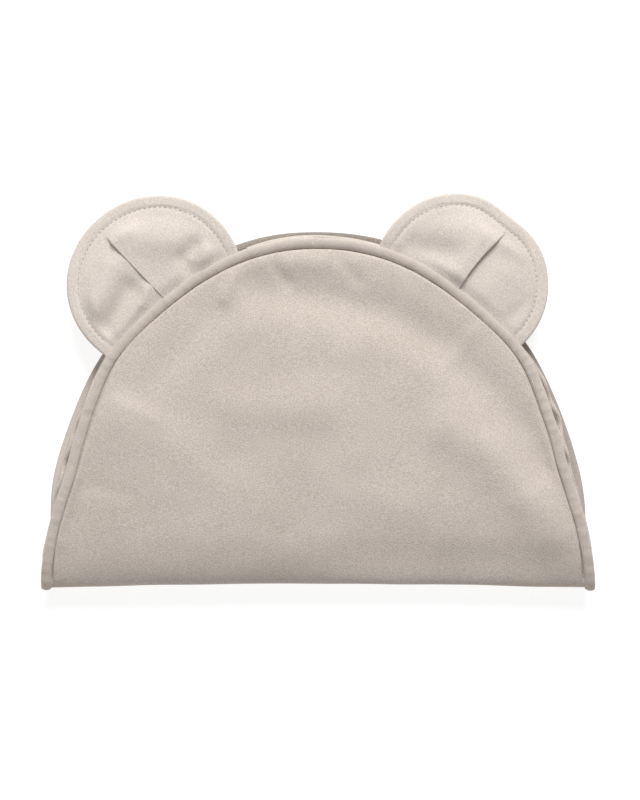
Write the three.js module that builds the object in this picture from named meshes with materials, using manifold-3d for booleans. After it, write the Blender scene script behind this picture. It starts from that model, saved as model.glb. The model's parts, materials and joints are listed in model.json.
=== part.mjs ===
// Hooded baby towel with two bear ears, folded flat with its hood on top.
//
// Frame: millimetres, +Z up, the towel lying on the plane z = 0. +Y runs from the bottom fold to the ears.
// The body is folded in three panels that lie on each other. Each panel is a flat sleeve of jersey with
// terry inside it, because the side wings are folded in, and the bound edges of the wings meet down its
// middle. The hood lies on the panels. The cloth round the bottom fold joins it to the lowest one.
import * as THREE from "three";
import { mergeVertices } from "three/addons/utils/BufferGeometryUtils.js";
import Module from "manifold-3d";

// Cloth thicknesses, and the gap between two faces of cloth that lie on each other.
const JERSEY = 0.9;
const TERRY = 1.9;
const POCKET_CLOTH = 1.4;
const EAR_CLOTH = 1.3;
const LABEL_CLOTH = 0.5;
const GAP = 0.3;

// Hood: its outline is half a superellipse that stands on the bottom fold.
const HOOD_WIDTH = 340;
const HOOD_HEIGHT = 214.4;
const HOOD_POWERS = { across: 2.1, up: 1.8 };

// Binding: a strip folded over the edge of the cloth. The back is its thickness outside that edge.
const BINDING_WIDTH = 6.4;
const BINDING_WALL = 0.7;
const BINDING_BACK = 1.4;

// Pocket: the inner panel of the hood, open along a straight hem.
const POCKET_MOUTH = 48;
const HEM_WIDTH = 8;
const HEM_THICKNESS = 2;

// Body panels: the lowest one reaches past the hood at the top and is a little narrower at the fold.
const LOWEST_OVERHANG = 3.4;
const LOWEST_SIDE_TUCK = 4;
const LOWEST_POWERS = { across: 2, up: 2.55 };
const MIDDLE_INSET = 4.5;
const TOP_INSET = 11;
const TURNED_STRIP = 3.8;
const TURN_REACH = 48;

// Ears: flaps that stand out from the hood's edge, bend along a straight line and droop a little.
const EAR_RADIUS = 54.5;
const EAR_BEND_OFFSET = 2.6;
const EAR_DROOP = 8;
const EAR_STITCH_INSET = 7.2;
const EAR_THREAD_RADIUS = 0.45;
const EAR_THREAD_START = 4;
const EARS = [
  { side: "left", seat: 122, reach: 10 },
  { side: "right", seat: 61, reach: 3 },
];

// Care label, sewn to the inner side of the binding near the fold.
const LABEL_WIDTH = 22;
const LABEL_LENGTH = 34;
const LABEL_FROM_FOLD = 14;

// How finely the curves are cut.
const ARCH_STEPS = 34;
const ROUND_STEPS = 2;
const EAR_STEPS = 44;
const THREAD_SIDES = 6;
const THREAD_STEPS = 26;

// Heights that follow from the sizes above.
const PANEL_THICKNESS = 2 * JERSEY + 2 * TERRY + 2 * GAP;
const panelBottom = (layer) => layer * (PANEL_THICKNESS + GAP);
const packTop = panelBottom(2) + PANEL_THICKNESS;
const hemBottom = packTop + GAP;
const pocketBottom = hemBottom + (HEM_THICKNESS - POCKET_CLOTH) / 2;
const liningBottom = hemBottom + HEM_THICKNESS + GAP;
const outerBottom = liningBottom + TERRY + GAP;
const hoodTop = outerBottom + JERSEY;

// The fold bends the outer and the lining together, at a lower and an upper crease.
const CLOTH_HALF = (hoodTop - liningBottom) / 2;
const BINDING_HALF = CLOTH_HALF + GAP + BINDING_WALL;
const upperCrease = (hoodTop + liningBottom) / 2;
const lowerCrease = BINDING_HALF;
const FOLD_END = 0.9;
const clothBase = CLOTH_HALF + GAP;
const bindingBase = BINDING_HALF + GAP;
const panelBase = BINDING_HALF + GAP;

const wasm = await Module();
wasm.setup();

// ---- solids ----

function solidOf(geometry) {
  const bare = new THREE.BufferGeometry();
  bare.setAttribute("position", geometry.getAttribute("position"));
  if (geometry.index) bare.setIndex(geometry.index);
  const merged = mergeVertices(bare, 1e-4);
  const mesh = new wasm.Mesh({
    numProp: 3,
    vertProperties: new Float32Array(merged.attributes.position.array),
    triVerts: new Uint32Array(merged.index.array),
  });
  return new wasm.Manifold(mesh);
}

function geometryOf(solid) {
  const mesh = solid.getMesh();
  const geometry = new THREE.BufferGeometry();
  geometry.setAttribute("position", new THREE.BufferAttribute(mesh.vertProperties, 3));
  geometry.setIndex(new THREE.BufferAttribute(mesh.triVerts, 1));
  geometry.computeVertexNormals();
  return geometry;
}

// A flat piece with this outline between two heights. Its edges are rounded by the given radius.
function slab(outline, low, high, round = 0) {
  const geometry = new THREE.ExtrudeGeometry(new THREE.Shape(outline), {
    depth: high - low - 2 * round,
    bevelEnabled: round > 0,
    bevelThickness: round,
    bevelSize: round,
    bevelOffset: -round,
    bevelSegments: ROUND_STEPS,
    steps: 1,
  });
  return solidOf(geometry.translate(0, 0, low + round));
}

function rectangle(x0, y0, x1, y1) {
  return [
    new THREE.Vector2(x0, y0),
    new THREE.Vector2(x1, y0),
    new THREE.Vector2(x1, y1),
    new THREE.Vector2(x0, y1),
  ];
}

// ---- outlines ----

// A point of a half superellipse. The turn goes from 0 at the right foot to half a turn at the left foot.
function archPoint(shape, turn) {
  const across = Math.cos(turn);
  const up = Math.max(0, Math.sin(turn));
  const x = shape.halfWidth * Math.sign(across) * Math.abs(across) ** (2 / shape.powers.across);
  const y = shape.base + (shape.height - shape.base) * up ** (2 / shape.powers.up);
  return new THREE.Vector2(x, y);
}

function arch(shape) {
  return Array.from({ length: ARCH_STEPS + 1 }, (_, i) => archPoint(shape, (Math.PI * i) / ARCH_STEPS));
}

function outwardNormal(shape, turn) {
  const step = 0.01;
  const along = archPoint(shape, turn + step).sub(archPoint(shape, turn - step));
  return new THREE.Vector2(along.y, -along.x).normalize();
}

// An open outline moved inwards by a distance. Its feet keep their height.
function inset(points, distance) {
  const last = points.length - 1;
  return points.map((point, i) => {
    const along = points[Math.min(last, i + 1)].clone().sub(points[Math.max(0, i - 1)]);
    const inward = new THREE.Vector2(-along.y, along.x).normalize();
    if (i === 0) inward.set(-1, 0);
    if (i === last) inward.set(1, 0);
    return point.clone().addScaledVector(inward, distance);
  });
}

// The part of an outline above a height, closed by a straight edge there.
function above(points, height) {
  const kept = [];
  points.forEach((point, i) => {
    const isIn = point.y >= height;
    if (isIn) kept.push(point);
    const next = points[i + 1];
    if (next && isIn !== next.y >= height) {
      kept.push(point.clone().lerp(next, (height - point.y) / (next.y - point.y)));
    }
  });
  return kept;
}

// An outline inside another one, the same distance from its sides and from its straight base.
function shrunk(points, distance) {
  return inset(above(points, points[0].y + distance), distance);
}

// The stretch of an arch that lies within a distance of its middle, as a closed band of this width.
function crownBand(points, width, reach) {
  const crown = points.filter((point) => Math.abs(point.x) <= reach);
  const inner = inset(points, width).filter((point, i) => Math.abs(points[i].x) <= reach);
  return [...crown, ...inner.reverse()];
}

const HOOD_ARCH = { halfWidth: HOOD_WIDTH / 2, height: HOOD_HEIGHT, powers: HOOD_POWERS, base: 0 };
const LOWEST_ARCH = {
  halfWidth: HOOD_WIDTH / 2 - LOWEST_SIDE_TUCK,
  height: HOOD_HEIGHT + LOWEST_OVERHANG,
  powers: LOWEST_POWERS,
  base: panelBase,
};
const hoodOutline = arch(HOOD_ARCH);
const lowestOutline = arch(LOWEST_ARCH);
const turnedBase = panelBase + TURNED_STRIP + GAP;
const middleOutline = above(inset(lowestOutline, MIDDLE_INSET), turnedBase);
const topOutline = above(inset(lowestOutline, TOP_INSET), turnedBase);

// ---- pieces ----

const FINISHES = {
  jersey: { color: 0xcbbfb3, roughness: 0.95, metalness: 0 },
  terry: { color: 0xd6cbbf, roughness: 1, metalness: 0 },
  binding: { color: 0xc1b6ac, roughness: 0.95, metalness: 0 },
  thread: { color: 0xb8aca0, roughness: 0.8, metalness: 0 },
  label: { color: 0xf2efe9, roughness: 0.7, metalness: 0 },
};

function piece(name, solid, finish) {
  const mesh = new THREE.Mesh(geometryOf(solid), new THREE.MeshStandardMaterial(FINISHES[finish]));
  mesh.name = name;
  return mesh;
}

// ---- folded body ----

// Half the thickness less a narrow flat, so that a soft edge is round and its outline still has a wall.
const softEdge = (thickness) => thickness / 2 - GAP;

// One panel of the body. Its slit, between the two wings, is in its upper or its lower face.
function bodyPanel(name, outline, layer, wingsUp) {
  const bottom = panelBottom(layer);
  const top = bottom + PANEL_THICKNESS;
  const middle = (bottom + top) / 2;
  const [wingLow, wingHigh] = wingsUp ? [middle + GAP / 2, top] : [bottom, middle - GAP / 2];

  const slitHalf = BINDING_WIDTH + 1.5 * GAP;
  const slitSides = rectangle(-slitHalf, 0, slitHalf, HOOD_HEIGHT + LOWEST_OVERHANG + GAP);
  const slit = slab(slitSides, wingLow - GAP, wingHigh + GAP);

  const hollowEdge = softEdge(PANEL_THICKNESS - 2 * JERSEY);
  const hollow = slab(shrunk(outline, JERSEY), bottom + JERSEY, top - JERSEY, hollowEdge);
  const sleeve = slab(outline, bottom, top, softEdge(PANEL_THICKNESS));

  const terryOutline = shrunk(outline, JERSEY + GAP);
  const betweenPlies = slab(shrunk(terryOutline, TERRY), middle - GAP / 2, middle + GAP / 2);
  const terryEdge = softEdge(PANEL_THICKNESS - 2 * JERSEY - 2 * GAP);
  const plies = slab(terryOutline, bottom + JERSEY + GAP, top - JERSEY - GAP, terryEdge);

  const group = new THREE.Group();
  group.add(piece(`${name}_outer`, sleeve.subtract(hollow).subtract(slit), "jersey"));
  group.add(piece(`${name}_lining`, plies.subtract(betweenPlies).subtract(slit), "terry"));

  const reach = Math.max(...outline.map((point) => point.y)) - JERSEY;
  const wings = [
    ["left", -BINDING_WIDTH - GAP / 2],
    ["right", GAP / 2],
  ];
  for (const [side, x] of wings) {
    const strip = rectangle(x, outline[0].y + JERSEY, x + BINDING_WIDTH, reach);
    const folded = slab(strip, wingLow, wingHigh, BINDING_WALL);
    group.add(piece(`${name}_${side}_wing_binding`, folded, "binding"));
  }
  return group;
}

// The cloth that turns up from the lowest panel into the middle one, at the top of the arch.
function upperTurn() {
  const cloth = slab(
    crownBand(lowestOutline, TURNED_STRIP, TURN_REACH),
    panelBottom(1),
    panelBottom(1) + PANEL_THICKNESS,
    JERSEY,
  );
  return piece("upper_turn", cloth, "jersey");
}

// The cloth that turns up from the middle panel into the uppermost one, behind the bottom fold.
function lowerTurn() {
  const side = topOutline[0].x;
  const strip = rectangle(-side, panelBase, side, panelBase + TURNED_STRIP);
  return piece("lower_turn", slab(strip, panelBottom(1), packTop, JERSEY), "jersey");
}

// The bound end of the body cloth, at the top of the uppermost panel.
function tailBinding() {
  const strip = inset(lowestOutline, TOP_INSET - BINDING_WIDTH);
  const edge = slab(
    crownBand(strip, BINDING_WIDTH - GAP, TURN_REACH),
    panelBottom(2),
    panelBottom(2) + PANEL_THICKNESS,
    BINDING_WALL,
  );
  return piece("tail_binding", edge, "binding");
}

function foldedBody() {
  const group = new THREE.Group();
  group.add(bodyPanel("lowest_panel", lowestOutline, 0, true));
  group.add(bodyPanel("middle_panel", middleOutline, 1, false));
  group.add(bodyPanel("top_panel", topOutline, 2, true));
  group.add(upperTurn());
  group.add(lowerTurn());
  group.add(tailBinding());
  return group;
}

// ---- cloth round the bottom fold ----

function foldCloth() {
  const group = new THREE.Group();
  const low = lowerCrease + FOLD_END;
  const high = upperCrease - FOLD_END;
  const side = HOOD_WIDTH / 2 - BINDING_BACK - GAP;
  const outer = slab(rectangle(-side, -CLOTH_HALF, side, JERSEY - CLOTH_HALF), low, high);
  group.add(piece("fold_outer", outer, "jersey"));
  const lining = slab(rectangle(-side, CLOTH_HALF - TERRY, side, CLOTH_HALF), low, high);
  group.add(piece("fold_lining", lining, "terry"));

  const edge = HOOD_WIDTH / 2;
  const bindingHigh = liningBottom - GAP;
  const slotHalf = CLOTH_HALF + GAP;
  for (const [name, sign] of [["left", -1], ["right", 1]]) {
    const wall = [sign * (edge - BINDING_WIDTH), sign * edge].sort((a, b) => a - b);
    const slot = [sign * (edge - BINDING_WIDTH - GAP), sign * (edge - BINDING_BACK)].sort((a, b) => a - b);
    const strip = slab(rectangle(wall[0], -BINDING_HALF, wall[1], BINDING_HALF), low, bindingHigh);
    const channel = slab(rectangle(slot[0], -slotHalf, slot[1], slotHalf), low - GAP, bindingHigh + GAP);
    group.add(piece(`fold_${name}_binding`, strip.subtract(channel), "binding"));
  }
  return group;
}

// ---- hood ----

function hood() {
  const group = new THREE.Group();
  const clothOutline = inset(above(hoodOutline, clothBase), BINDING_BACK + GAP);
  group.add(piece("hood_outer", slab(clothOutline, outerBottom, hoodTop), "jersey"));
  group.add(piece("hood_lining", slab(clothOutline, liningBottom, liningBottom + TERRY), "terry"));

  const bindingOutline = above(hoodOutline, bindingBase);
  const strip = slab(bindingOutline, upperCrease - BINDING_HALF, upperCrease + BINDING_HALF, BINDING_WALL);
  const through = slab(
    inset(above(hoodOutline, bindingBase - GAP), BINDING_WIDTH),
    upperCrease - BINDING_HALF - GAP,
    upperCrease + BINDING_HALF + GAP,
  );
  const slotOutline = inset(above(hoodOutline, bindingBase - GAP), BINDING_BACK);
  const slot = slab(slotOutline, liningBottom - GAP, hoodTop + GAP);
  group.add(piece("hood_binding", strip.subtract(through).subtract(slot), "binding"));

  const insideBinding = inset(hoodOutline, BINDING_WIDTH + GAP);
  const pocketOutline = above(insideBinding, POCKET_MOUTH + HEM_WIDTH + GAP);
  const pocketCloth = slab(pocketOutline, pocketBottom, pocketBottom + POCKET_CLOTH);
  group.add(piece("pocket_panel", pocketCloth, "jersey"));

  const hemHalf = above(insideBinding, POCKET_MOUTH + HEM_WIDTH)[0].x;
  const hemStrip = rectangle(-hemHalf, POCKET_MOUTH, hemHalf, POCKET_MOUTH + HEM_WIDTH);
  const pocketHem = slab(hemStrip, hemBottom, hemBottom + HEM_THICKNESS, BINDING_WALL);
  group.add(piece("pocket_hem", pocketHem, "jersey"));

  const labelEdge = above(insideBinding, LABEL_FROM_FOLD + LABEL_WIDTH)[0].x;
  const labelStrip = rectangle(
    labelEdge - LABEL_LENGTH,
    LABEL_FROM_FOLD,
    labelEdge,
    LABEL_FROM_FOLD + LABEL_WIDTH,
  );
  const labelTop = liningBottom - GAP;
  group.add(piece("care_label", slab(labelStrip, labelTop - LABEL_CLOTH, labelTop), "label"));
  return group;
}

// ---- ears ----

class ThreadArc extends THREE.Curve {
  constructor(radius, centreY, height, start) {
    super();
    Object.assign(this, { radius, centreY, height, start });
  }

  getPoint(t) {
    const turn = this.start + (Math.PI - 2 * this.start) * t;
    const x = this.radius * Math.cos(turn);
    const y = this.centreY + this.radius * Math.sin(turn);
    return new THREE.Vector3(x, y, this.height);
  }
}

// In an ear's own frame the bend line is the X axis, +Y points out of the hood and z = 0 is its middle.
function ear({ side, seat, reach }) {
  const turn = THREE.MathUtils.degToRad(seat);
  const normal = outwardNormal(HOOD_ARCH, turn);
  const bend = archPoint(HOOD_ARCH, turn).addScaledVector(normal, EAR_BEND_OFFSET);
  const centreY = reach - EAR_BEND_OFFSET;
  const plyTop = GAP / 2 + EAR_CLOTH;
  const droop = Math.atan(EAR_DROOP / (EAR_RADIUS + centreY));

  const disc = Array.from({ length: EAR_STEPS }, (_, i) => {
    const angle = (2 * Math.PI * i) / EAR_STEPS;
    return new THREE.Vector2(EAR_RADIUS * Math.cos(angle), centreY + EAR_RADIUS * Math.sin(angle));
  });
  const wide = EAR_RADIUS + GAP;
  const behindBend = slab(rectangle(-wide, -2 * wide, wide, GAP), -wide, wide);
  const beyondBend = slab(rectangle(-wide, -GAP / 2, wide, 2 * wide), -wide, wide);

  const place = new THREE.Group();
  place.position.set(bend.x, bend.y, upperCrease);
  place.rotation.z = Math.atan2(-normal.x, normal.y);
  place.updateMatrix();

  const flap = new THREE.Group();
  flap.rotation.x = -droop;
  const front = slab(disc, GAP / 2, plyTop).subtract(behindBend);
  const back = slab(disc, -plyTop, -GAP / 2).subtract(behindBend);
  flap.add(piece(`ear_${side}_front`, front, "jersey"));
  flap.add(piece(`ear_${side}_back`, back, "jersey"));

  const threadRing = EAR_RADIUS - EAR_STITCH_INSET;
  const threadStart = Math.asin((EAR_THREAD_START - centreY) / threadRing);
  const threadHeight = plyTop + GAP + EAR_THREAD_RADIUS;
  const section = Array.from({ length: THREAD_SIDES }, (_, i) => {
    const angle = (2 * Math.PI * i) / THREAD_SIDES;
    return new THREE.Vector2(Math.cos(angle), Math.sin(angle)).multiplyScalar(EAR_THREAD_RADIUS);
  });
  const thread = new THREE.ExtrudeGeometry(new THREE.Shape(section), {
    steps: THREAD_STEPS,
    extrudePath: new ThreadArc(threadRing, centreY, threadHeight, threadStart),
  });
  flap.add(piece(`ear_${side}_topstitch`, solidOf(thread), "thread"));
  place.add(flap);

  // The sewn base stays with the hood. It fills the space between the hood's edge and the bend line.
  const hoodEdge = inset(hoodOutline, -GAP).map((point) => {
    const toEar = place.matrix.clone().invert();
    const seen = new THREE.Vector3(point.x, point.y, upperCrease).applyMatrix4(toEar);
    return new THREE.Vector2(seen.x, seen.y);
  });
  const insideHood = slab(hoodEdge, -wide, wide);
  const base = slab(disc, -plyTop, plyTop).subtract(beyondBend).subtract(insideHood);
  place.add(piece(`ear_${side}_base`, base, "jersey"));
  return place;
}

// ---- assembly ----

const towel = new THREE.Group();
towel.add(foldedBody());
towel.add(foldCloth());
towel.add(hood());
EARS.forEach((form) => towel.add(ear(form)));

// The origin is the middle of the underside.
const box = new THREE.Box3().setFromObject(towel, true);
const centre = box.getCenter(new THREE.Vector3());
towel.position.set(-centre.x, -centre.y, -box.min.z);

export default towel;
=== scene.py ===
# Hooded baby towel with bear ears, folded flat: cloth, padding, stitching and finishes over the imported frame.
import json
import math

import bmesh
import bpy
import numpy as np
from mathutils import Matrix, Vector, noise


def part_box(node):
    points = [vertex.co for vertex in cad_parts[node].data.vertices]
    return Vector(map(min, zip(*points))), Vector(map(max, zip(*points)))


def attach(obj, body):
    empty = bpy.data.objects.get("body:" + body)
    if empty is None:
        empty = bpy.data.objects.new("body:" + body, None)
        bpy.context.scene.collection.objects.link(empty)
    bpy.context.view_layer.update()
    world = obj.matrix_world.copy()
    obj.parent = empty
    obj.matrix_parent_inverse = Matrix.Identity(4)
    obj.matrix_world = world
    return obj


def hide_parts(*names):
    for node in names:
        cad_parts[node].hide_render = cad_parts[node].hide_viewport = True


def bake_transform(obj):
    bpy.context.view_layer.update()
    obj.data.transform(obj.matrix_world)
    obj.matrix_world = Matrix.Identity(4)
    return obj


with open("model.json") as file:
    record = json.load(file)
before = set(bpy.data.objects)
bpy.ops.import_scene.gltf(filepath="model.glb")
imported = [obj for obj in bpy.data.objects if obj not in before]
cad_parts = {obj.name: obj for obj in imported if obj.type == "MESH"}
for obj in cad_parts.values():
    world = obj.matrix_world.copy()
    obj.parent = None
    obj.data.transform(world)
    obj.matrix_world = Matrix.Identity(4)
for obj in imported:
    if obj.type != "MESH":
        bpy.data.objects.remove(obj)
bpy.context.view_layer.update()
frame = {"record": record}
MM = 0.001

# ---- sizes in millimetres, from the frame ----


def frame_thickness(node):
    low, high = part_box(node)
    return (high.z - low.z) / MM


JOINTS = {joint["name"]: joint for joint in frame["record"]["behaviour"]["joints"]}
FOLD_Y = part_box("fold_outer")[0].y / MM
HALF_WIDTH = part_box("fold_right_binding")[1].x / MM
ARCH_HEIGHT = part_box("hood_binding")[1].y / MM - FOLD_Y
COVER_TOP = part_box("hood_outer")[1].z / MM
COVER_THICK = frame_thickness("hood_outer")
TERRY_THICK = frame_thickness("hood_lining")
CLOTH_MIDDLE = JOINTS["hood_open"]["pos_m"][2] / MM
PANEL_BOXES = {name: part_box(f"{name}_outer") for name in ("lowest_panel", "middle_panel", "top_panel")}

# ---- sizes of the soft work, in millimetres ----

ARCH_POWERS = (2.1, 1.8)
LOWEST_POWERS = (2.0, 2.55)
BINDING_WIDTH = 6.5
BINDING_HALF = 2.2
WING_BINDING_WIDTH = 6.4
WING_BINDING_HALF = 1.1
WING_SINK = 0.9
WING_RISE = 0.25
TAIL_BINDING_HALF = 2.9
ROLL_DEPTH = 34.0
ROLL_MIDDLE = COVER_TOP / 2
RIM_DROOP = 1.3
RIM_REACH = 17.0
SEAM_DITCH = 2.6
SEAM_WIDTH = 0.75
PLY_GAP = 0.3
LINING_BELOW = COVER_THICK + PLY_GAP
EAR_RADIUS = 54.5
EAR_BASE_TUCK = 4.2
EAR_STITCH_INSET = 7.2
EAR_STITCH_START = 9.0
THREAD_RADIUS = 0.32

# The hood's edge, as sewn, pulls in or out a little from its drafted arch: height, reach, amount.
EDGE_PULLS = [
    (70.0, 30.0, -3.6),
    (145.0, 24.0, 4.9),
]

# Soft folds in the hood: a line through these points, its half-width, and how far it rises or sinks.
HOOD_FOLDS = [
    ([(-36, 183), (0, 180), (40, 171), (78, 150), (107, 121), (127, 95), (142, 73)], 14, -3.9),
    ([(-34, 203), (18, 203)], 7, 1.3),
    ([(-50, 141), (0, 139)], 14, -0.6),
    ([(-50, 110), (6, 108)], 13, 1.5),
    ([(80, 98), (104, 84), (126, 61), (142, 34)], 15, 3.2),
    ([(30, 13), (126, 9)], 24, -3.6),
    ([(-162, 4), (-150, 70)], 24, -3.4),
    ([(-116, 108), (-56, 62)], 14, 1.3),
    ([(-114, 119), (-62, 170)], 12, -1.8),
    ([(-48, 204), (-57, 178)], 4.0, 1.5),
    ([(-31, 206), (-19, 188)], 3.5, -1.3),
    ([(12, 206), (25, 189)], 4.0, -1.3),
    ([(96, 158), (84, 140)], 4.5, 0.7),
    ([(-128, 118), (-100, 104)], 4.5, 0.6),
    ([(-150, 66), (-118, 58)], 5.0, -0.6),
    ([(148, 70), (122, 52)], 5.0, 0.6),
]
# The stuffing of folded layers under the hood lifts its middle, and it slopes down to the arch and the fold.
CROWN_RISE = 1.7
CROWN_TO_ARCH = 3.3
CROWN_TO_FOLD = 1.9
CROWN_MIDDLE = 62.0
# The binding holds the cloth down this far in from its inner edge.
HELD_REACH = 5.5
# Unevenness, each with its amount, the size of its patches and its place in the pattern.
HOOD_BROAD_WAVE = (0.8, 46.0, 3.1)
HOOD_SMALL_WAVE = (0.35, 17.0, 8.4)
HOOD_PUCKERS = (0.4, 7.0, 5.9)
PUCKER_RADIUS = 190.0
PUCKER_REACH = 6.0
FOLD_WAVE = (0.5, 38.0, 5.7)
BINDING_TIGHT_SWELL = (0.20, 5.5, 2.2)
BINDING_LONG_SWELL = (0.10, 34.0, 6.1)
BINDING_WANDER = (0.35, 19.0, 4.4)
LOWEST_EDGE_WAVE = (0.9, 70.0, 1.3)
UPPER_EDGE_WAVE = (1.5, 42.0, 7.7)
LOWER_TURN_WAVE = (0.4, 30.0, 5.5)
HEM_WAVE = (0.5, 40.0, 3.3)


def smooth(t):
    t = np.clip(t, 0.0, 1.0)
    return t * t * (3 - 2 * t)


def bell(t):
    return np.exp(-np.square(t))


def waves(x, y, size, seed):
    """Smooth unevenness from -1 to 1 over cloth, in patches of about this size."""
    points = np.stack(np.broadcast_arrays(x / size, y / size, seed), axis=-1)
    flat = points.reshape(-1, 3)
    return np.array([noise.noise(Vector(p)) for p in flat]).reshape(points.shape[:-1])


def uneven(x, y, wave):
    """Smooth unevenness by a wave's amount, patch size and place in the pattern."""
    amount, size, seed = wave
    return amount * waves(x, y, size, seed)


# ---- the hood's outline and surface, with y measured up from the bottom fold ----


def edge_pull(x, y):
    amount = sum(size * bell((y - height) / reach) for height, reach, size in EDGE_PULLS)
    return amount * smooth(np.abs(x) / 40.0)


def drafted_arch(half_width, height, powers):
    """An arch from its right foot over the top to its left foot."""
    turn = np.linspace(0, math.pi, 2000)
    across, up = np.cos(turn), np.abs(np.sin(turn))
    x = half_width * np.sign(across) * np.abs(across) ** (2 / powers[0])
    return np.stack([x, height * up ** (2 / powers[1])], axis=1)


def hood_arch(count):
    """The hood's edge as sewn, with its points evenly spaced."""
    arch = drafted_arch(HALF_WIDTH, ARCH_HEIGHT, ARCH_POWERS)
    arch[:, 0] += np.sign(arch[:, 0]) * edge_pull(arch[:, 0], arch[:, 1])
    return evenly(arch, count)


def arch_normals(arch):
    along = np.gradient(arch, axis=0)
    normal = np.stack([along[:, 1], -along[:, 0]], axis=1)
    return normal / np.linalg.norm(normal, axis=1, keepdims=True)


def hood_half_width(y):
    """Half the hood's width at a height above the bottom fold."""
    arch = hood_arch(1200)
    right = arch[arch[:, 0] > 0]
    return np.interp(y, right[:, 1], right[:, 0])


def evenly(points, count, closed=False):
    """The same line with its points evenly spaced."""
    if closed:
        points = np.vstack([points, points[:1]])
    steps = np.linalg.norm(np.diff(points, axis=0), axis=1)
    reached = np.concatenate([[0], np.cumsum(steps)])
    wanted = np.linspace(0, reached[-1], count, endpoint=not closed)
    return np.stack([np.interp(wanted, reached, points[:, i]) for i in range(points.shape[1])], axis=1)


def edge_distance(x, y):
    """How far a point of the hood lies inside the edge of its arch."""
    x = np.abs(x)
    x = np.maximum(x - edge_pull(x, y), 1e-3)
    y = np.clip(y, 1e-3, None)
    a, b = ARCH_POWERS
    level = 1 - (x / HALF_WIDTH) ** a - (y / ARCH_HEIGHT) ** b
    slope_x = a / HALF_WIDTH * (x / HALF_WIDTH) ** (a - 1)
    slope_y = b / ARCH_HEIGHT * (y / ARCH_HEIGHT) ** (b - 1)
    return level / np.hypot(slope_x, slope_y)


def fold_lines(x, y, folds):
    """The rise of soft folds, each along its own line of points."""
    total = np.zeros(np.broadcast(x, y).shape)
    for line, width, height in folds:
        nearest = np.full(total.shape, 1e9)
        for (x0, y0), (x1, y1) in zip(line, line[1:]):
            length = math.hypot(x1 - x0, y1 - y0)
            along = ((x - x0) * (x1 - x0) + (y - y0) * (y1 - y0)) / length
            across = ((x - x0) * (y1 - y0) - (y - y0) * (x1 - x0)) / length
            beyond = np.maximum(np.maximum(-along, along - length), 0)
            nearest = np.minimum(nearest, np.hypot(across, beyond))
        total = total + height * bell(nearest / width)
    return total


def roll_height(y):
    """The share of the half-thickness that the fold reaches at this distance from its outermost line."""
    back = np.clip((ROLL_DEPTH - y) / ROLL_DEPTH, 0, 1)
    return np.sqrt(np.clip(1 - back**2, 0, 1))


def hood_surface(x, y, below=0.0, creased=True):
    """The height of the hood's face, or of a layer this far below it."""
    d = edge_distance(x, y)
    free = 1 - bell(np.maximum(d - BINDING_WIDTH, 0) / HELD_REACH)
    height = COVER_TOP + CROWN_RISE - RIM_DROOP * bell(np.maximum(d, 0) / RIM_REACH)
    height = height - CROWN_TO_ARCH * smooth((y - CROWN_MIDDLE) / (1.3 * (ARCH_HEIGHT - CROWN_MIDDLE)))
    height = height - CROWN_TO_FOLD * smooth(1 - y / CROWN_MIDDLE)
    if creased:
        soft = fold_lines(x, y, HOOD_FOLDS) + uneven(x, y, HOOD_BROAD_WAVE) + uneven(x, y, HOOD_SMALL_WAVE)
        puckers = uneven(np.arctan2(y, x) * PUCKER_RADIUS, d, HOOD_PUCKERS)
        puckers = puckers * bell((d - BINDING_WIDTH - PUCKER_REACH / 2) / PUCKER_REACH)
        height = height + (free * soft + puckers * smooth((y - 8.0) / 20.0))
    half = height - ROLL_MIDDLE - below
    return ROLL_MIDDLE + half * roll_height(y - below)


# ---- mesh helpers ----


def mesh_piece(name, vertices, faces, material):
    """A mesh from vertices in millimetres, with y still measured from the bottom fold."""
    points = np.asarray(vertices, float) + (0, FOLD_Y, 0)
    mesh = bpy.data.meshes.new(name)
    mesh.from_pydata((points * MM).tolist(), [], faces)
    mesh.validate()
    piece = bpy.data.objects.new(name, mesh)
    bpy.context.scene.collection.objects.link(piece)
    mesh.materials.append(material)
    face_outwards(mesh)
    mesh.shade_smooth()
    return piece


def face_outwards(mesh):
    work = bmesh.new()
    work.from_mesh(mesh)
    bmesh.ops.recalc_face_normals(work, faces=work.faces)
    work.to_mesh(mesh)
    work.free()


def faced(sheet, up):
    """The sheet with its face turned up (1) or down (-1)."""
    middle = sheet.data.polygons[len(sheet.data.polygons) // 2].normal.z
    if middle * up < 0:
        sheet.data.flip_normals()
    return sheet


def finished(piece):
    """The piece with its modifiers applied."""
    bpy.context.view_layer.update()
    shaped = piece.evaluated_get(bpy.context.evaluated_depsgraph_get())
    mesh = bpy.data.meshes.new_from_object(shaped)
    piece.modifiers.clear()
    piece.data = mesh
    mesh.shade_smooth()
    return piece


def thickened(piece, thickness):
    """A sheet given its cloth's thickness on its inner side."""
    cloth = piece.modifiers.new("cloth thickness", "SOLIDIFY")
    cloth.thickness = thickness * MM
    cloth.offset = -1
    cloth.use_even_offset = False
    return finished(piece)


def ring_faces(rings, around, closed_around=True):
    """Quads between successive rings of vertices."""
    faces = []
    last = around if closed_around else around - 1
    for k in range(rings - 1):
        for i in range(last):
            j = (i + 1) % around
            faces.append((k * around + i, k * around + j, (k + 1) * around + j, (k + 1) * around + i))
    return faces


def outward_normals(loop):
    along = np.roll(loop, -1, axis=0) - np.roll(loop, 1, axis=0)
    normal = np.stack([along[:, 1], -along[:, 0]], axis=1)
    return normal / np.linalg.norm(normal, axis=1, keepdims=True)


RIM_STEPS = (0, 0.12, 0.4, 0.85, 1.45, 2.2, 3.1, 3.8, 4.3, 4.8, 5.4, 6.3, 7.6, 9.8, 12.4, 16.0)


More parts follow.
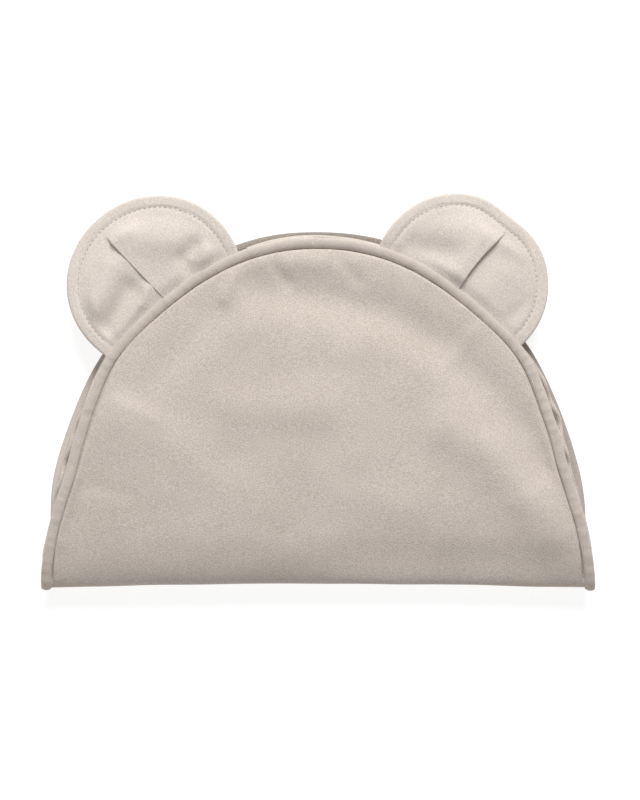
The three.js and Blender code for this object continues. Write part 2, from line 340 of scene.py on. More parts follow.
def radial_plan(loop, core, inner_steps):
    """Rings of points from a closed outline in to its core, close together at the rim."""
    normal = outward_normals(loop)
    reach = np.sum((loop - core) * normal, axis=1)
    shares = [np.minimum(step / reach, 0.9) for step in RIM_STEPS]
    for k in range(1, inner_steps):
        shares.append(shares[len(RIM_STEPS) - 1] + (1 - shares[len(RIM_STEPS) - 1]) * k / inner_steps)
    plan = np.stack([core + (loop - core) * (1 - share)[:, None] for share in shares])
    depth = np.stack([share * reach for share in shares])
    return plan, depth


def softened(loop, rounds):
    for _ in range(rounds):
        loop = (np.roll(loop, 1, axis=0) + 2 * loop + np.roll(loop, -1, axis=0)) / 4
    return loop


def closed_outline(arch, count, corner_rounds):
    """An arch closed by a straight base, with its two corners eased."""
    return softened(evenly(arch, count, closed=True), corner_rounds)


def disc_faces(rings, around, start=0):
    """The faces of a radial sheet whose last vertex is its core."""
    faces = [tuple(start + v for v in face) for face in ring_faces(rings, around)]
    core = start + rings * around
    first = start + (rings - 1) * around
    faces += [(first + i, first + (i + 1) % around, core) for i in range(around)]
    return faces


def radial_sheet(name, x, y, z, core, material, thickness):
    """A cloth over rings of points, closed at its core, with its face up."""
    vertices = np.vstack([np.stack([x, y, z], axis=-1).reshape(-1, 3), core])
    sheet = mesh_piece(name, vertices, disc_faces(*x.shape), material)
    return thickened(faced(sheet, 1), thickness)


# ---- finishes ----


def shader_group(name, inputs, outputs):
    """An empty node group with its numbered inputs and its outputs, and its two end nodes."""
    group = bpy.data.node_groups.new(name, "ShaderNodeTree")
    for label, value in inputs:
        socket = group.interface.new_socket(label, in_out="INPUT", socket_type="NodeSocketFloat")
        socket.default_value = value
    for label in outputs:
        group.interface.new_socket(label, in_out="OUTPUT", socket_type="NodeSocketFloat")
    return group, group.nodes.new("NodeGroupInput"), group.nodes.new("NodeGroupOutput")


def add(tree, kind, **settings):
    node = tree.nodes.new(kind)
    for key, value in settings.items():
        setattr(node, key, value)
    return node


def math_node(tree, operation, first, second):
    node = add(tree, "ShaderNodeMath", operation=operation)
    for socket, value in zip(node.inputs, (first, second)):
        if isinstance(value, (int, float)):
            socket.default_value = value
        else:
            tree.links.new(value, socket)
    return node.outputs[0]


def noise_node(tree, vector, scale, detail, roughness=0.55):
    node = add(tree, "ShaderNodeTexNoise")
    node.inputs["Detail"].default_value = detail
    node.inputs["Roughness"].default_value = roughness
    tree.links.new(vector, node.inputs["Vector"])
    if isinstance(scale, (int, float)):
        node.inputs["Scale"].default_value = scale
    else:
        tree.links.new(scale, node.inputs["Scale"])
    return node.outputs["Fac"]


def range_node(tree, value, low, high, to_low=0.0, to_high=1.0):
    node = add(tree, "ShaderNodeMapRange")
    for socket, amount in zip(list(node.inputs)[1:5], (low, high, to_low, to_high)):
        socket.default_value = amount
    tree.links.new(value, node.inputs["Value"])
    return node.outputs["Result"]


def build_brushed_nap():
    """Short brushed pile: a fine speckle of lit and shaded tufts, and broad patches where the pile leans."""
    sizes = [("Tufts per metre", 700.0), ("Patches per metre", 26.0)]
    group, start, end = shader_group("Brushed nap", sizes, ["Speckle", "Lean", "Height"])
    place = add(group, "ShaderNodeTexCoord").outputs["Object"]
    tufts = noise_node(group, place, start.outputs["Tufts per metre"], 2.0, 0.6)
    fine = math_node(group, "MULTIPLY", start.outputs["Tufts per metre"], 2.6)
    fibres = noise_node(group, place, fine, 1.0)
    lean = noise_node(group, place, start.outputs["Patches per metre"], 3.0)
    speckle = range_node(group, tufts, 0.34, 0.66)
    tuft_height = math_node(group, "MULTIPLY", tufts, 0.7)
    fibre_height = math_node(group, "MULTIPLY", fibres, 0.3)
    both = math_node(group, "ADD", tuft_height, fibre_height)
    group.links.new(speckle, end.inputs["Speckle"])
    group.links.new(range_node(group, lean, 0.3, 0.7), end.inputs["Lean"])
    group.links.new(both, end.inputs["Height"])
    return group


def build_knit_rows():
    """Rows of small knitted loops, for rib, thread and the plain back of the cloth."""
    sizes = [("Loops per metre", 900.0), ("Unevenness", 0.0012)]
    group, start, end = shader_group("Knit rows", sizes, ["Loop", "Height"])
    place = add(group, "ShaderNodeTexCoord").outputs["Object"]
    drift = add(group, "ShaderNodeTexNoise")
    drift.inputs["Scale"].default_value = 90.0
    group.links.new(place, drift.inputs["Vector"])
    amount = add(group, "ShaderNodeVectorMath", operation="SCALE")
    group.links.new(drift.outputs["Color"], amount.inputs[0])
    group.links.new(start.outputs["Unevenness"], amount.inputs["Scale"])
    moved = add(group, "ShaderNodeVectorMath", operation="ADD")
    group.links.new(place, moved.inputs[0])
    group.links.new(amount.outputs[0], moved.inputs[1])
    loops = add(group, "ShaderNodeTexVoronoi", feature="F1")
    loops.inputs["Randomness"].default_value = 0.35
    group.links.new(moved.outputs[0], loops.inputs["Vector"])
    group.links.new(start.outputs["Loops per metre"], loops.inputs["Scale"])
    crown = range_node(group, loops.outputs["Distance"], 0.05, 0.62, 1.0, 0.0)
    group.links.new(crown, end.inputs["Loop"])
    group.links.new(crown, end.inputs["Height"])
    return group


SHEEN_TINT = (1.0, 0.93, 0.86, 1.0)
SHEEN_ROUGHNESS = 0.45
CLOTH_SPECULAR = 0.18


def cloth_material(name, dark, light, roughness, sheen, bump, depth):
    """A cloth finish with its shader ready, and the tree, colour mix and bump that its texture feeds."""
    material = bpy.data.materials.new(name)
    material.use_nodes = True
    tree = material.node_tree
    shader = tree.nodes["Principled BSDF"]
    shader.inputs["Roughness"].default_value = roughness
    shader.inputs["Specular IOR Level"].default_value = CLOTH_SPECULAR
    shader.inputs["Sheen Weight"].default_value = sheen
    shader.inputs["Sheen Roughness"].default_value = SHEEN_ROUGHNESS
    shader.inputs["Sheen Tint"].default_value = SHEEN_TINT
    mix = add(tree, "ShaderNodeMix", data_type="RGBA")
    mix.inputs["A"].default_value = (*dark, 1.0)
    mix.inputs["B"].default_value = (*light, 1.0)
    tree.links.new(mix.outputs["Result"], shader.inputs["Base Color"])
    relief = add(tree, "ShaderNodeBump")
    relief.inputs["Strength"].default_value = bump
    relief.inputs["Distance"].default_value = depth
    tree.links.new(relief.outputs["Normal"], shader.inputs["Normal"])
    return material, tree, mix.inputs["Factor"], relief.inputs["Height"]


def blended_factor(tree, parts):
    """A sum of masks, each with its own share."""
    total = None
    for output, share in parts:
        part = math_node(tree, "MULTIPLY", output, share)
        total = part if total is None else math_node(tree, "ADD", total, part)
    return total


def build_painted_shade_gradient():
    """Painted shade: a colour gradient by place that darkens the cloth more and more towards its top and its
    right side.
    """
    group, _, end = shader_group("Painted shade gradient", [], ["Across", "Upwards"])
    place = add(group, "ShaderNodeSeparateXYZ")
    group.links.new(add(group, "ShaderNodeTexCoord").outputs["Object"], place.inputs["Vector"])
    group.links.new(range_node(group, place.outputs["X"], -0.17, 0.17, 0.26, -0.26), end.inputs["Across"])
    group.links.new(range_node(group, place.outputs["Y"], -0.06, 0.10, 0.93, 0.04), end.inputs["Upwards"])
    return group


def cloth_finish(name, dark, light, feel, textures, shares):
    """A cloth whose tone follows its textures' masks by their shares, and its relief the last texture."""
    material, tree, factor, height = cloth_material(name, dark, light, *feel)
    masks = {}
    for group, values in textures:
        node = add(tree, "ShaderNodeGroup", node_tree=group)
        for socket, value in zip(node.inputs, values):
            socket.default_value = value
        masks.update({output.name: output for output in node.outputs})
    parts = [(masks[label], share) for label, share in shares.items()]
    tree.links.new(blended_factor(tree, parts), factor)
    tree.links.new(masks["Height"], height)
    return material


NAP = build_brushed_nap()
KNIT = build_knit_rows()
# A colour gradient by place that paints shade onto the cloth, darker towards its top and right side.
PAINTED_SHADE_GRADIENT = build_painted_shade_gradient()
VELOUR_NAP = (NAP, (1200.0, 22.0))
# The feel of a cloth: roughness, sheen, strength of its relief, and the relief's depth in metres.
VELOUR_FEEL = (0.92, 0.14, 0.55, 0.0006)
VELOUR_SHARES = {"Speckle": 0.78, "Lean": 0.22}
VELOUR = cloth_finish(
    "brushed velour jersey", (0.43, 0.371, 0.323), (0.64, 0.569, 0.513),
    VELOUR_FEEL, [VELOUR_NAP], VELOUR_SHARES,
)
# The lowest panel's velour: a darker copy of the velour with painted shade, darkened further towards its top
# and right by the painted shade gradient.
VELOUR_PAINTED_SHADE = cloth_finish(
    "velour with painted shade", (0.18, 0.152, 0.13), (0.60, 0.53, 0.475),
    VELOUR_FEEL, [(PAINTED_SHADE_GRADIENT, ()), VELOUR_NAP], {"Across": 0.75, "Upwards": 0.75, "Speckle": 0.25},
)
# The ears' velour: a lighter copy of the velour, with painted light.
EAR_VELOUR_PAINTED_LIGHT = cloth_finish(
    "velour with painted light", (0.495, 0.435, 0.385), (0.70, 0.632, 0.577),
    VELOUR_FEEL, [VELOUR_NAP], VELOUR_SHARES,
)
TERRY = cloth_finish(
    "looped terry", (0.50, 0.44, 0.385), (0.74, 0.68, 0.615), (0.96, 0.22, 0.9, 0.0011),
    [(NAP, (1500.0, 30.0)), (KNIT, (560.0, 0.0022))], {"Loop": 0.55, "Speckle": 0.3, "Lean": 0.15},
)
BINDING = cloth_finish(
    "edge binding", (0.43, 0.372, 0.327), (0.61, 0.54, 0.487), (0.9, 0.6, 0.5, 0.0005),
    [(KNIT, (1300.0, 0.0006)), (NAP, (1600.0, 60.0))], {"Speckle": 0.6, "Loop": 0.2, "Lean": 0.2},
)
THREAD = cloth_finish(
    "sewing thread", (0.42, 0.362, 0.315), (0.60, 0.535, 0.475), (0.7, 0.1, 0.4, 0.0002),
    [(KNIT, (3600.0, 0.0002))], {"Loop": 1.0},
)
LABEL = cloth_finish(
    "plain woven label", (0.74, 0.72, 0.68), (0.88, 0.865, 0.83), (0.6, 0.05, 0.35, 0.00015),
    [(KNIT, (3000.0, 0.0001))], {"Loop": 1.0},
)


# ---- strips and stitches ----

STRIP_END_ROUND = 2.2
UP = (0.0, 0.0, 1.0)
DOWN = (0.0, 0.0, -1.0)


def facing(direction, count):
    """The same direction at every point of a path."""
    return np.tile(np.array(direction, float), (count, 1))


def swept_strip(name, path, outward, normal, section, material, swell=None):
    """A closed strip: a section of (outward, normal) points carried along a path, with rounded ends."""
    count = len(path)
    along = np.gradient(path, axis=0)
    along /= np.linalg.norm(along, axis=1, keepdims=True)
    side = outward - np.sum(outward * along, axis=1, keepdims=True) * along
    side /= np.linalg.norm(side, axis=1, keepdims=True)
    up = np.cross(along, side)
    up *= np.sign(np.sum(up * normal, axis=1, keepdims=True))
    swell = np.ones(count) if swell is None else swell
    reached = np.concatenate([[0], np.cumsum(np.linalg.norm(np.diff(path, axis=0), axis=1))])
    to_end = np.minimum(reached, reached[-1] - reached)
    ease = np.sqrt(np.clip(1 - np.square(1 - np.clip(to_end / STRIP_END_ROUND, 0, 1)), 0.02, 1))
    centre = section.mean(axis=0)
    rings = []
    for k in range(count):
        points = centre + (section - centre) * ease[k]
        rings.append(path[k] + np.outer(points[:, 0], side[k]) + np.outer(points[:, 1] * swell[k], up[k]))
    vertices = np.concatenate(rings)
    faces = ring_faces(count, len(section))
    last = (count - 1) * len(section)
    faces.append(tuple(range(len(section))))
    faces.append(tuple(last + i for i in reversed(range(len(section)))))
    return mesh_piece(name, vertices, faces, material)


def binding_section(width=BINDING_WIDTH, half=BINDING_HALF):
    """A folded strip in section: flat where it is sewn down at its inner edge, full and round at its back."""
    turn = np.linspace(0, 2 * math.pi, 18, endpoint=False)
    across = -width / 2 + width / 2 * np.sign(np.cos(turn)) * np.abs(np.cos(turn)) ** 0.9
    fullness = 1 - 0.2 * smooth(-(across + width * 0.45) / (width * 0.55))
    return np.stack([across, half * fullness * np.sign(np.sin(turn)) * np.abs(np.sin(turn)) ** 0.75], axis=1)


def stitches(name, path, normal, material, length=2.3, pitch=3.2, lift=0.1):
    """A row of separate stitches that lie on a surface and dip into it at both ends."""
    steps = np.linalg.norm(np.diff(path, axis=0), axis=1)
    reached = np.concatenate([[0], np.cumsum(steps)])
    vertices, faces = [], []
    sides, rings = 6, 5
    turn = np.linspace(0, 2 * math.pi, sides, endpoint=False)
    for start in np.arange(pitch / 2, reached[-1] - length, pitch):
        at = np.linspace(start, start + length, rings)
        line = np.stack([np.interp(at, reached, path[:, i]) for i in range(3)], axis=1)
        up = np.stack([np.interp(at, reached, normal[:, i]) for i in range(3)], axis=1)
        along = np.gradient(line, axis=0)
        side = np.cross(along, up)
        side /= np.linalg.norm(side, axis=1, keepdims=True)
        share = np.sin(np.linspace(0, math.pi, rings))
        line = line + up * (lift + THREAD_RADIUS * (1.2 * share - 0.9))[:, None]
        size = THREAD_RADIUS * (0.55 + 0.45 * share)
        first = len(vertices)
        for k in range(rings):
            for angle in turn:
                vertices.append(line[k] + size[k] * (math.cos(angle) * side[k] + math.sin(angle) * up[k]))
        faces += [tuple(first + v for v in face) for face in ring_faces(rings, sides)]
        faces.append(tuple(first + i for i in range(sides)))
        faces.append(tuple(first + (rings - 1) * sides + i for i in range(sides)))
    return mesh_piece(name, vertices, faces, material)


# ---- the hood ----

HOOD_CORE = np.array([0.0, 88.0])
HOOD_POINTS = 380
HOOD_RINGS = 44
FOLD_SAG = 2.6
FOLD_FADE = 60.0
FOLD_END_TUCK = 1.6
FOLD_LAP = 0.25
FOLD_ROWS = (26, 150)
FOLD_END_REACH = 12.0
# Where the bound edge goes round the fold, its ends spread out and down a little.
FOOT_REACH = 16.0
FOOT_HEIGHT = 8.0
BINDING_LENGTH = 760.0
RIGHT_FOOT = (1.4, -1.6)
LEFT_FOOT = (-0.6, -0.9)
# The two ends of the binding meet in a cross seam near the top of the arch.
JOIN_PLACE = -2.8
JOIN_DIP = 0.4


def fold_line(x):
    """How far the outermost line of the bottom fold stands in from the towel's lowest edge."""
    return FOLD_SAG * (1 - np.square(x / HALF_WIDTH)) + uneven(x, 0 * x, FOLD_WAVE)


def near_fold(y):
    """The share of the fold line's place that cloth at this height still follows."""
    return 1 - smooth(y / FOLD_FADE)


def hood_sheet(name, below, inset, material, thickness):
    """One cloth of the hood: from the middle of the bottom fold, round the roll, to the arched edge."""
    arch = hood_arch(900)
    arch = arch - inset * arch_normals(arch)
    arch[:, 1] = np.maximum(arch[:, 1], 0)
    loop = closed_outline(arch, HOOD_POINTS, 2)
    loop[:, 1] = np.maximum(loop[:, 1], 0)
    plan, _ = radial_plan(loop, HOOD_CORE, HOOD_RINGS)
    x, y = plan[..., 0], plan[..., 1]
    z = hood_surface(x, y + below, below)
    ditch = SEAM_DITCH * bell((edge_distance(x, y) - BINDING_WIDTH) / SEAM_WIDTH)
    z = z - ditch * smooth((y - 1.5) / 7.0)
    y = y + below * (1 - smooth(y / ROLL_DEPTH)) + fold_line(x) * near_fold(y)
    core = (*HOOD_CORE, float(hood_surface(*HOOD_CORE.reshape(2, 1), below)[0]))
    return radial_sheet(name, x, y, z, core, material, thickness)


def edge_path(count):
    """The middle of the hood's bound edge in space, with its outward and face directions."""
    arch = hood_arch(4000)
    normal = arch_normals(arch)
    inside = arch - 3.0 * normal
    half_cloth = COVER_TOP - CLOTH_MIDDLE
    z = hood_surface(inside[:, 0], np.maximum(arch[:, 1], 0), half_cloth, creased=False)
    y = arch[:, 1] + fold_line(arch[:, 0]) * near_fold(arch[:, 1])
    path = evenly(np.stack([arch[:, 0], y, z], axis=1), count)
    near = np.array([np.argmin(np.square(arch - p[:2]).sum(axis=1)) for p in path])
    outward = np.hstack([normal[near], np.zeros((count, 1))])
    back = np.clip((ROLL_DEPTH - path[:, 1]) / ROLL_DEPTH, 0, 1)
    face = np.stack([0 * back, -back, np.sqrt(1 - back**2) + 1e-3], axis=1)
    at_foot = path[:, 1] < FOOT_HEIGHT
    outward[:, 0] = np.where(at_foot, np.sign(path[:, 0]), outward[:, 0])
    outward[:, 1] = np.where(at_foot, 0, outward[:, 1])
    return path, outward, face


def hood_binding_piece():
    count = 900
    path, outward, face = edge_path(count)
    reach = np.linspace(0, BINDING_LENGTH, count)
    swell = 1 + uneven(reach, 0 * reach, BINDING_TIGHT_SWELL) + uneven(reach, 0 * reach, BINDING_LONG_SWELL)
    path = path + outward * uneven(reach, 0 * reach, BINDING_WANDER)[:, None]
    swell = swell - JOIN_DIP * bell((path[:, 0] - JOIN_PLACE) / 0.8) * (path[:, 1] > ARCH_HEIGHT / 2)
    low = bell(path[:, 1] / FOOT_REACH)
    right = path[:, 0] > 0
    path[:, 0] += np.where(right, RIGHT_FOOT[0], LEFT_FOOT[0]) * low
    path[:, 1] += np.where(right, RIGHT_FOOT[1], LEFT_FOOT[1]) * low
    return swept_strip("hood_edge_binding", path, outward, face, binding_section(), BINDING, swell)


# ---- cloth round the bottom fold ----


def fold_sheet(name, below, inset, material, thickness):
    """The lower half of the bottom fold: from its outermost line down and in under the towel."""
    rows, columns = FOLD_ROWS
    turn = np.linspace(-0.05, 1.0, rows)
    depth = ROLL_DEPTH - below
    angle = turn * math.pi / 2
    y = below + depth * (1 - np.cos(angle))
    z = ROLL_MIDDLE - (ROLL_MIDDLE - below) * np.sin(angle) + 0.05
    y = y + FOLD_LAP * smooth(-turn / 0.02)
    grid_x, grid_y = np.meshgrid(np.linspace(-1, 1, columns), y)
    grid_x = grid_x * (hood_half_width(grid_y) - inset - FOLD_END_TUCK * smooth(grid_y / FOLD_END_REACH))
    grid_z = np.broadcast_to(z[:, None], grid_x.shape)
    grid_y = grid_y + fold_line(grid_x) * near_fold(grid_y)
    vertices = np.stack([grid_x, grid_y, grid_z], axis=-1).reshape(-1, 3)
    sheet = mesh_piece(name, vertices, ring_faces(rows, columns, False), material)
    return thickened(faced(sheet, -1), thickness)


def fold_binding_piece(name, side):
    """The bound edge at one end of the fold's lower half."""
    half_cloth = COVER_TOP - CLOTH_MIDDLE
    turn = np.linspace(0, 1.08, 60)
    angle = np.minimum(turn, 1.0) * math.pi / 2
    beyond = np.maximum(turn - 1.0, 0) * 90
    y = half_cloth + (ROLL_DEPTH - half_cloth) * (1 - np.cos(angle)) + beyond
    z = ROLL_MIDDLE - (ROLL_MIDDLE - BINDING_HALF) * np.sin(angle)
    x = side * (hood_half_width(y) - FOLD_END_TUCK * smooth(y / FOLD_END_REACH))
    y = y + fold_line(x)
    path = np.stack([x, y, z], axis=1)
    outward = facing((side, 0, 0), len(y))
    face = np.stack([0 * y, -np.cos(angle), -np.sin(angle)], axis=1)
    return swept_strip(name, path, outward, face, binding_section(), BINDING)


# ---- the folded body ----

PANEL_CORE = np.array([0.0, 92.0])
PANEL_POINTS = 340
PANEL_RINGS = 26
MIDDLE_REACH = 1.9
# The lowest panel's edge stands out at both sides and at the top: place along the edge, width and rise.
LOWEST_LENGTH = 900.0
LOWEST_BULGES = [(90.0, 48.0, 2.2), (810.0, 48.0, 2.2), (450.0, 110.0, 1.6)]
TOP_PANEL_REACH = -9.0
UPPER_LENGTH = 620.0
# Beside the hood the middle panel's edge stands out in crests with a hollow behind each:
# side, height, length along the edge, how far the crest stands out, how deep the hollow is.
MIDDLE_CRESTS = [
    (1, 127.0, 8.0, 2.2, 3.6),
    (1, 104.0, 9.0, 4.0, 4.8),
    (1, 81.0, 7.0, 3.2, 4.6),
    (1, 64.0, 6.0, 2.0, 4.2),
    (-1, 98.0, 9.0, 1.6, 3.2),
    (-1, 76.0, 6.5, 2.8, 4.4),
    (-1, 59.0, 5.5, 2.4, 4.2),
]
HOLLOW_PLACE = 4.9
HOLLOW_REACH = 2.6
# The lowest panel wears the velour with painted shade.
PANEL_FINISH = {"lowest_panel": VELOUR_PAINTED_SHADE, "middle_panel": VELOUR, "top_panel": VELOUR}
RIM_SWAY = {"lowest_panel": (0.7, 34.0), "middle_panel": (3.3, 10.5), "top_panel": (0.8, 34.0)}
PANEL_FEET = {"lowest_panel": 21.0, "middle_panel": 12.5, "top_panel": 13.5}
# The middle panel's terry stops short of the hollows in its edge.
TERRY_BACK = {"lowest_panel": 0.0, "middle_panel": 7.5, "top_panel": 0.0}
# How full the panels' terry is.
TERRY_FULLNESS = 0.95


def crest_share(x, y, side, height, length):
    return bell((y - height) / length) * (np.sign(x) == side)


def panel_arch(name, inset):
    """A panel's arched edge: the lowest reaches past the hood, and the ones on it show in soft waves."""
    if name == "lowest_panel":
        high = PANEL_BOXES[name][1]
        arch = evenly(drafted_arch(high.x / MM, high.y / MM - FOLD_Y, LOWEST_POWERS), 900)
        reach = np.linspace(0, LOWEST_LENGTH, 900)
        pull = uneven(reach, 0 * reach, LOWEST_EDGE_WAVE)
        for place, width, rise in LOWEST_BULGES:
            pull = pull + rise * bell((reach - place) / width)
    else:
        arch = hood_arch(900)
        reach = np.linspace(0, UPPER_LENGTH, 900)
        out = MIDDLE_REACH if name == "middle_panel" else TOP_PANEL_REACH
        pull = out + uneven(reach, 0 * reach, UPPER_EDGE_WAVE)
        if name == "middle_panel":
            for side, height, length, out, _ in MIDDLE_CRESTS:
                pull = pull + out * crest_share(arch[:, 0], arch[:, 1], side, height, length)
    return arch + arch_normals(arch) * (pull - inset)[:, None]


def panel_shell(name, suffix, inset, edge_back, material, thickness):
    """One panel: two plies of cloth that are one sheet, folded at the sides and turned at the ends."""
    low, high = PANEL_BOXES[name]
    bottom, top = low.z / MM + inset, high.z / MM - inset
    middle, half = (bottom + top) / 2, (top - bottom) / 2
    arch = panel_arch(name, inset + edge_back)
    foot = PANEL_FEET[name] + inset + edge_back
    loop = closed_outline(arch[arch[:, 1] > foot], PANEL_POINTS, 7)
    plan, depth = radial_plan(loop, PANEL_CORE, PANEL_RINGS)
    x, y = plan[..., 0], plan[..., 1]
    edge = np.clip(depth / (half * 1.15), 0, 1)
    share = np.sqrt(np.clip(1 - np.square(1 - edge), 0, 1))
    amount, size = RIM_SWAY[name]
    sway = amount * waves(x, y, size, 4.0 + low.z / MM) * bell(depth / 14.0)
    soft = 0.35 * waves(x, y, 40.0, 9.0 + low.z / MM)
    upper = middle + half * share + sway + soft
    lower = middle - half * share + sway
    if name == "middle_panel":
        for side, height, length, _, deep in MIDDLE_CRESTS:
            hollow = deep * bell((depth + inset + edge_back - HOLLOW_PLACE) / HOLLOW_REACH)
            upper = upper - hollow * crest_share(x, y, side, height, length)
    if name == "lowest_panel":
        lower = np.maximum(middle - half * share + np.maximum(sway, 0), bottom)
    upper_sheet = np.stack([x, y, upper], axis=-1)
    lower_sheet = np.stack([x, y, lower], axis=-1)[1:]
    around, rings = len(loop), len(plan)
    vertices = [*upper_sheet.reshape(-1, 3), [*PANEL_CORE, middle + half]]
    faces = disc_faces(rings, around)
    start = len(vertices)
    vertices += [*lower_sheet.reshape(-1, 3), [*PANEL_CORE, middle - half]]
    faces += [tuple(reversed(face)) for face in disc_faces(rings - 1, around, start)]
    for i in range(around):
        j = (i + 1) % around
        faces.append((j, i, start + i, start + j))
    shell = mesh_piece(f"{name}_{suffix}", vertices, faces, material)
    return thickened(shell, thickness)


def wing_binding(name, side):
    """The bound edge of one wing, down the middle of the panel's upper or lower face."""
    low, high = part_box(f"{name}_{side}_wing_binding")
    panel_low, panel_high = PANEL_BOXES[name]
    on_top = high.z + low.z > panel_high.z + panel_low.z
    sign = -1 if side == "left" else 1
    y = np.linspace(max(low.y / MM - FOLD_Y, PANEL_FEET[name] + 2), high.y / MM - FOLD_Y - 2.5, 150)
    drift = 0.7 * waves(0 * y, y, 30.0, 2.9 + low.z / MM)
    x = sign * 0.35 + drift
    face_z = panel_high.z / MM - WING_SINK if on_top else panel_low.z / MM + WING_SINK
    z = np.full_like(y, face_z) + (WING_RISE if on_top else -WING_RISE)
    path = np.stack([x, y, z], axis=1)
    outward = facing((-sign, 0, 0), len(y))
    face = facing(UP if on_top else DOWN, len(y))
    section = binding_section(WING_BINDING_WIDTH, WING_BINDING_HALF)
    return swept_strip(f"{name}_{side}_wing_edge", path, outward, face, section, BINDING)


def from_panel_core(path):
    """Level directions out from the middle of the panels."""
    outward = path - (0.0, PANEL_CORE[1], 0.0)
    outward[:, 2] = 0
    return outward / np.linalg.norm(outward, axis=1, keepdims=True)


# A turn is a little lower than its frame piece, and its roll is this deep.
TURN_EASE = 0.9
TURN_DEPTH = 1.7
LOWER_TURN_PLACE = 11.0


def turn_piece(name, node, path_of):
    """The cloth that runs on from one panel into the next, as a soft roll along its fold."""
    low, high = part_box(node)
    path = path_of(low, high)
    half_height = (high.z - low.z) / MM / 2 - TURN_EASE
    turn = np.linspace(0, 2 * math.pi, 20, endpoint=False)
    section = np.stack([TURN_DEPTH * (np.cos(turn) - 1), half_height * np.sin(turn)], axis=1)
    return swept_strip(name, path, from_panel_core(path), facing(UP, len(path)), section, VELOUR)


def crown_path(arch, reach, height):
    """The top of an arch within this reach of its middle, at one height."""
    count = 60
    points = arch[np.abs(arch[:, 0]) < reach]
    points = evenly(points[points[:, 1] > PANEL_CORE[1]], count)
    return np.hstack([points, np.full((count, 1), height)])


# ---- ears ----

# Each ear: the centre of its round outline, the side its pleat laps to (1 right, -1 left), how high the
# lap stands, how much more it stands at its end corner, where the pleat ends and over what length, the
# pleat's line (start, lean, curve), and a flat place in the rim (angle, reach, depth).
EAR_FORMS = {
    "ear_left": {
        "centre": 7.4, "over": 1, "rise": 1.0, "corner": 0.7, "end": 48.0, "fade": 6.0,
        "pleat": (-1.75, -0.048, 0.0), "flat": (0.0, 0.1, 0.0),
    },
    "ear_right": {
        "centre": 0.4, "over": -1, "rise": 2.7, "corner": 0.0, "end": 42.0, "fade": 12.0,
        "pleat": (1.7, -0.11, 0.0042), "flat": (1.58, 0.34, -3.0),
    },
}
# Soft folds in each ear, as on the hood, with x along its bend line and y outwards.
EAR_FOLDS = {
    "ear_left": [
        ([(-52, 3), (-32, 9), (-15, 15)], 7, -3.2),
        ([(-50, 20), (-30, 24), (-14, 32)], 10, 3.6),
        ([(-36, -1), (-21, 3)], 5, 1.5),
        ([(-15, 4), (-7, 8)], 3.2, 1.6),
        ([(20, -2), (23, 8), (33, 9)], 5, -2.4),
        ([(30, -6), (36, 2)], 5, 2.1),
        ([(4, 38), (14, 33), (24, 22)], 11, 3.0),
        ([(2, 45), (9, 43)], 5, 1.6),
    ],
    "ear_right": [
        ([(-34, 0), (-16, 10)], 8, -2.3),
        ([(-22, 22), (-8, 34)], 9, 1.2),
        ([(-6, 44), (2, 46)], 5, -2.3),
        ([(9, 36), (20, 38)], 5, 1.8),
        ([(14, 0), (20, 22)], 9, 0.9),
        ([(34, -6), (42, 12)], 6, -1.0),
        ([(-4, 2), (-4, 30)], 5, 0.8),
    ],
}
# Rows of the padding from its rim inwards, over the ear's reach from rim to base.
EAR_RIM_STEPS = (0, 0.15, 0.5, 1.0, 1.7, 2.8, 4.2, 5.6, 6.5, 7.1, 7.7, 8.6, 10.2, 12.5)
EAR_REACH = 62.0
EAR_RIM_ROUND = 1.7
EAR_PLY = 1.35
EAR_STITCH_DIP = 0.75
EAR_FILLING = 0.75
EAR_DROOP = 6.5
PLEAT_WIDTH = 8.5
PLEAT_LAP = 2.1


